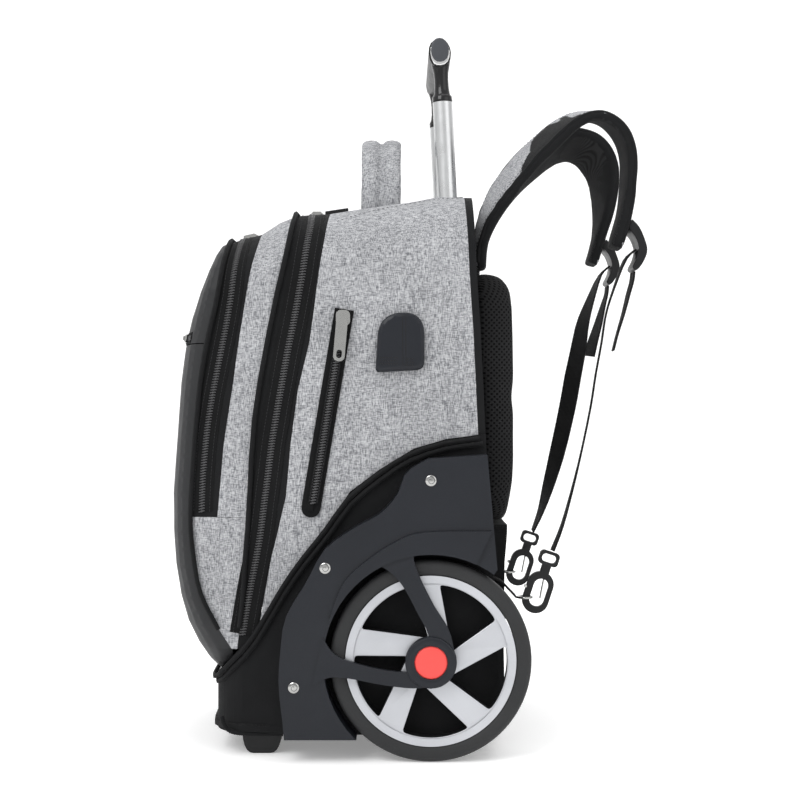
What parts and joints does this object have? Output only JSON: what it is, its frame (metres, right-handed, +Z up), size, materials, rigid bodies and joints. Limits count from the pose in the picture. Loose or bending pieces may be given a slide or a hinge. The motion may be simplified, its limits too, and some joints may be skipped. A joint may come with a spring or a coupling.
{
  "type": "wheeled backpack",
  "caption": "Rolling backpack with large side wheels, fork fenders, telescopic handle, padded shoulder straps and zipped compartments.",
  "frame": {"origin": "centre of the bounding box at floor height", "axes": "+X towards the wearer's back and the shoulder straps, +Y across the width to the side without the pocket, +Z up"},
  "size_m": [0.4724, 0.381, 0.7037],
  "materials": {
    "heather": "grey heather polyester weave",
    "black_cloth": "black nylon weave",
    "smooth_panel": "charcoal smooth coated cloth",
    "mesh_pad": "black spacer mesh",
    "fender_plastic": "satin charcoal plastic",
    "black_plastic": "black moulded plastic",
    "tyre_rubber": "satin dark grey rubber",
    "rim_silver": "silver painted",
    "cap_red": "coral red",
    "tube_metal": "satin anodised",
    "nickel": "pale nickel"
  },
  "bodies": {
    "root": {"main_shell": "heather", "back_panel": "black_cloth", "main_zip_band": "black_cloth", "middle_gusset": "heather", "front_zip_band": "black_cloth", "lower_gusset_near": "heather", "lower_gusset_far": "heather", "front_panel_upper": "smooth_panel", "front_panel_lower": "smooth_panel", "boot": "black_cloth", "boot_piping": "black_cloth", "main_seam_piping": "black_cloth", "front_seam_piping": "black_cloth", "main_zip_slider": "nickel", "main_zip_tab": "black_plastic", "front_zip_slider": "nickel", "pocket_zip_tape": "black_cloth", "pocket_zip_slider": "nickel", "pocket_zip_pull": "nickel", "usb_cover": "fender_plastic", "carry_handle": "heather", "tube_housing_near": "black_plastic", "tube_housing_far": "black_plastic", "back_pad": "mesh_pad", "lower_back_cover": "black_cloth", "fender_near": "fender_plastic", "fender_far": "fender_plastic", "rivet_top_near": "nickel", "rivet_middle_near": "nickel", "rivet_low_near": "nickel", "rivet_top_far": "nickel", "rivet_middle_far": "nickel", "rivet_low_far": "nickel", "axle_near": "nickel", "axle_far": "nickel", "hub_cap_near": "cap_red", "hub_cap_far": "cap_red", "foot_near": "black_plastic", "foot_far": "black_plastic", "shoulder_strap_near": "heather", "shoulder_strap_far": "heather", "strap_buckle_near": "black_plastic", "strap_buckle_far": "black_plastic", "strap_webbing_near": "black_cloth", "strap_webbing_far": "black_cloth", "strap_tail_near": "black_cloth", "strap_tail_far": "black_cloth", "anchor_tab_near": "black_cloth", "anchor_tab_far": "black_cloth", "snap_hook_near": "black_plastic", "snap_hook_far": "black_plastic", "anchor_ring_near": "nickel", "anchor_ring_far": "nickel"},
    "wheel_near": {"tyre_near": "tyre_rubber", "rim_near": "rim_silver"},
    "wheel_far": {"tyre_far": "tyre_rubber", "rim_far": "rim_silver"},
    "trolley_handle": {"trolley_tube_near": "tube_metal", "trolley_tube_far": "tube_metal", "trolley_grip": "black_plastic"}
  },
  "joints": [
    {"name": "wheel_near_spin", "type": "hinge", "parent": "root", "child": "wheel_near", "pos_m": [0.02146, -0.1705, 0.095], "axis": [0, 1, 0], "continuous": true},
    {"name": "wheel_far_spin", "type": "hinge", "parent": "root", "child": "wheel_far", "pos_m": [0.02146, 0.1705, 0.095], "axis": [0, 1, 0], "continuous": true},
    {"name": "trolley_slide", "type": "slide", "parent": "root", "child": "trolley_handle", "axis": [-0.0499, 0, 0.9988], "range_m": [-0.096, 0.28]}
  ]
}
